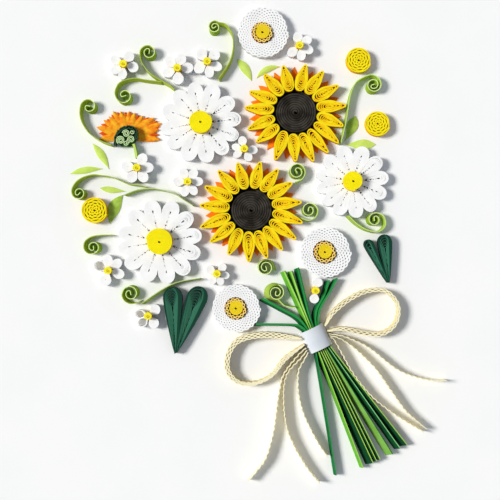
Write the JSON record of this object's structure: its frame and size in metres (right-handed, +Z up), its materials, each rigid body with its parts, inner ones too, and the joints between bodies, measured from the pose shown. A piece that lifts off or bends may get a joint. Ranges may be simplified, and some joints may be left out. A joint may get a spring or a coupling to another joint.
{
  "type": "quilled paper art",
  "caption": "Framed-size bouquet of rolled, pinched and curled paper strips standing on a white card: sunflowers, daisies, small blooms, tendrils, leaves and a tied bow.",
  "frame": {"origin": "centre of the card's underside", "axes": "+Z up out of the card's face, +Y towards the top of the picture, +X to its right"},
  "size_m": [0.21, 0.21, 0.0075],
  "materials": {
    "card_white": "matt white card",
    "sunflower_yellow": "matt bright yellow paper",
    "sunflower_orange": "matt orange paper",
    "seed_black": "matt black-brown paper",
    "petal_white": "matt white paper",
    "centre_yellow": "matt yellow paper",
    "rose_yellow": "matt golden yellow paper",
    "amber_petal": "matt amber and orange paper",
    "calyx_green": "matt deep green paper",
    "sage_green": "matt light green paper",
    "tendril_green": "matt moss green paper",
    "leaf_green": "matt light green paper",
    "heart_leaf_green": "matt bottle green paper",
    "stem_dark_green": "matt dark green paper",
    "stem_bright_green": "matt bright green paper",
    "wrap_white": "matt white paper",
    "ribbon_cream": "matt cream paper"
  },
  "bodies": {
    "root": {"backing_card": "card_white", "sunflower_upper_back_petals": "sunflower_orange", "sunflower_upper_petals": "sunflower_yellow", "sunflower_upper_seed_coil": "seed_black", "sunflower_lower_back_petals": "sunflower_orange", "sunflower_lower_petals": "sunflower_yellow", "sunflower_lower_seed_coil": "seed_black", "daisy_upper_petals": "petal_white", "daisy_upper_centre": "centre_yellow", "daisy_left_petals": "petal_white", "daisy_left_centre": "centre_yellow", "daisy_right_petals": "petal_white", "daisy_right_centre": "centre_yellow", "rosette_top_coil": "petal_white", "rosette_top_heart": "centre_yellow", "rosette_right_coil": "petal_white", "rosette_right_heart": "centre_yellow", "rosette_left_coil": "petal_white", "rosette_left_heart": "centre_yellow", "yellow_rose_left": "rose_yellow", "yellow_rose_upper_right": "rose_yellow", "yellow_rose_lower_right": "rose_yellow", "small_flower_01_petals": "petal_white", "small_flower_02_petals": "petal_white", "small_flower_03_petals": "petal_white", "small_flower_04_petals": "petal_white", "small_flower_05_petals": "petal_white", "small_flower_06_petals": "petal_white", "small_flower_07_petals": "petal_white", "small_flower_08_petals": "petal_white", "small_flower_09_petals": "petal_white", "small_flower_10_petals": "petal_white", "small_flower_11_petals": "petal_white", "small_flower_cores": "centre_yellow", "back_view_flower_petals": "amber_petal", "back_view_flower_calyx": "calyx_green", "back_view_flower_stem": "sage_green", "scroll_top_left": "tendril_green", "scroll_upper_left": "tendril_green", "scroll_outer_left": "tendril_green", "scroll_middle_left": "tendril_green", "scroll_lower_left": "tendril_green", "scroll_by_heart_leaf": "tendril_green", "scroll_top": "tendril_green", "scroll_right": "tendril_green", "scroll_between_sunflowers": "tendril_green", "scroll_beside_sunflower": "tendril_green", "scroll_below_sunflower": "tendril_green", "scroll_by_stems": "tendril_green", "scroll_lower_right": "tendril_green", "vines": "tendril_green", "flat_leaves": "leaf_green", "heart_leaf_left": "heart_leaf_green", "heart_leaf_right": "heart_leaf_green", "stems_dark": "stem_dark_green", "stems_bright": "stem_bright_green", "stem_wrap": "wrap_white", "bow_loop_left": "ribbon_cream", "bow_loop_right": "ribbon_cream", "bow_tails": "ribbon_cream"}
  },
  "joints": []
}
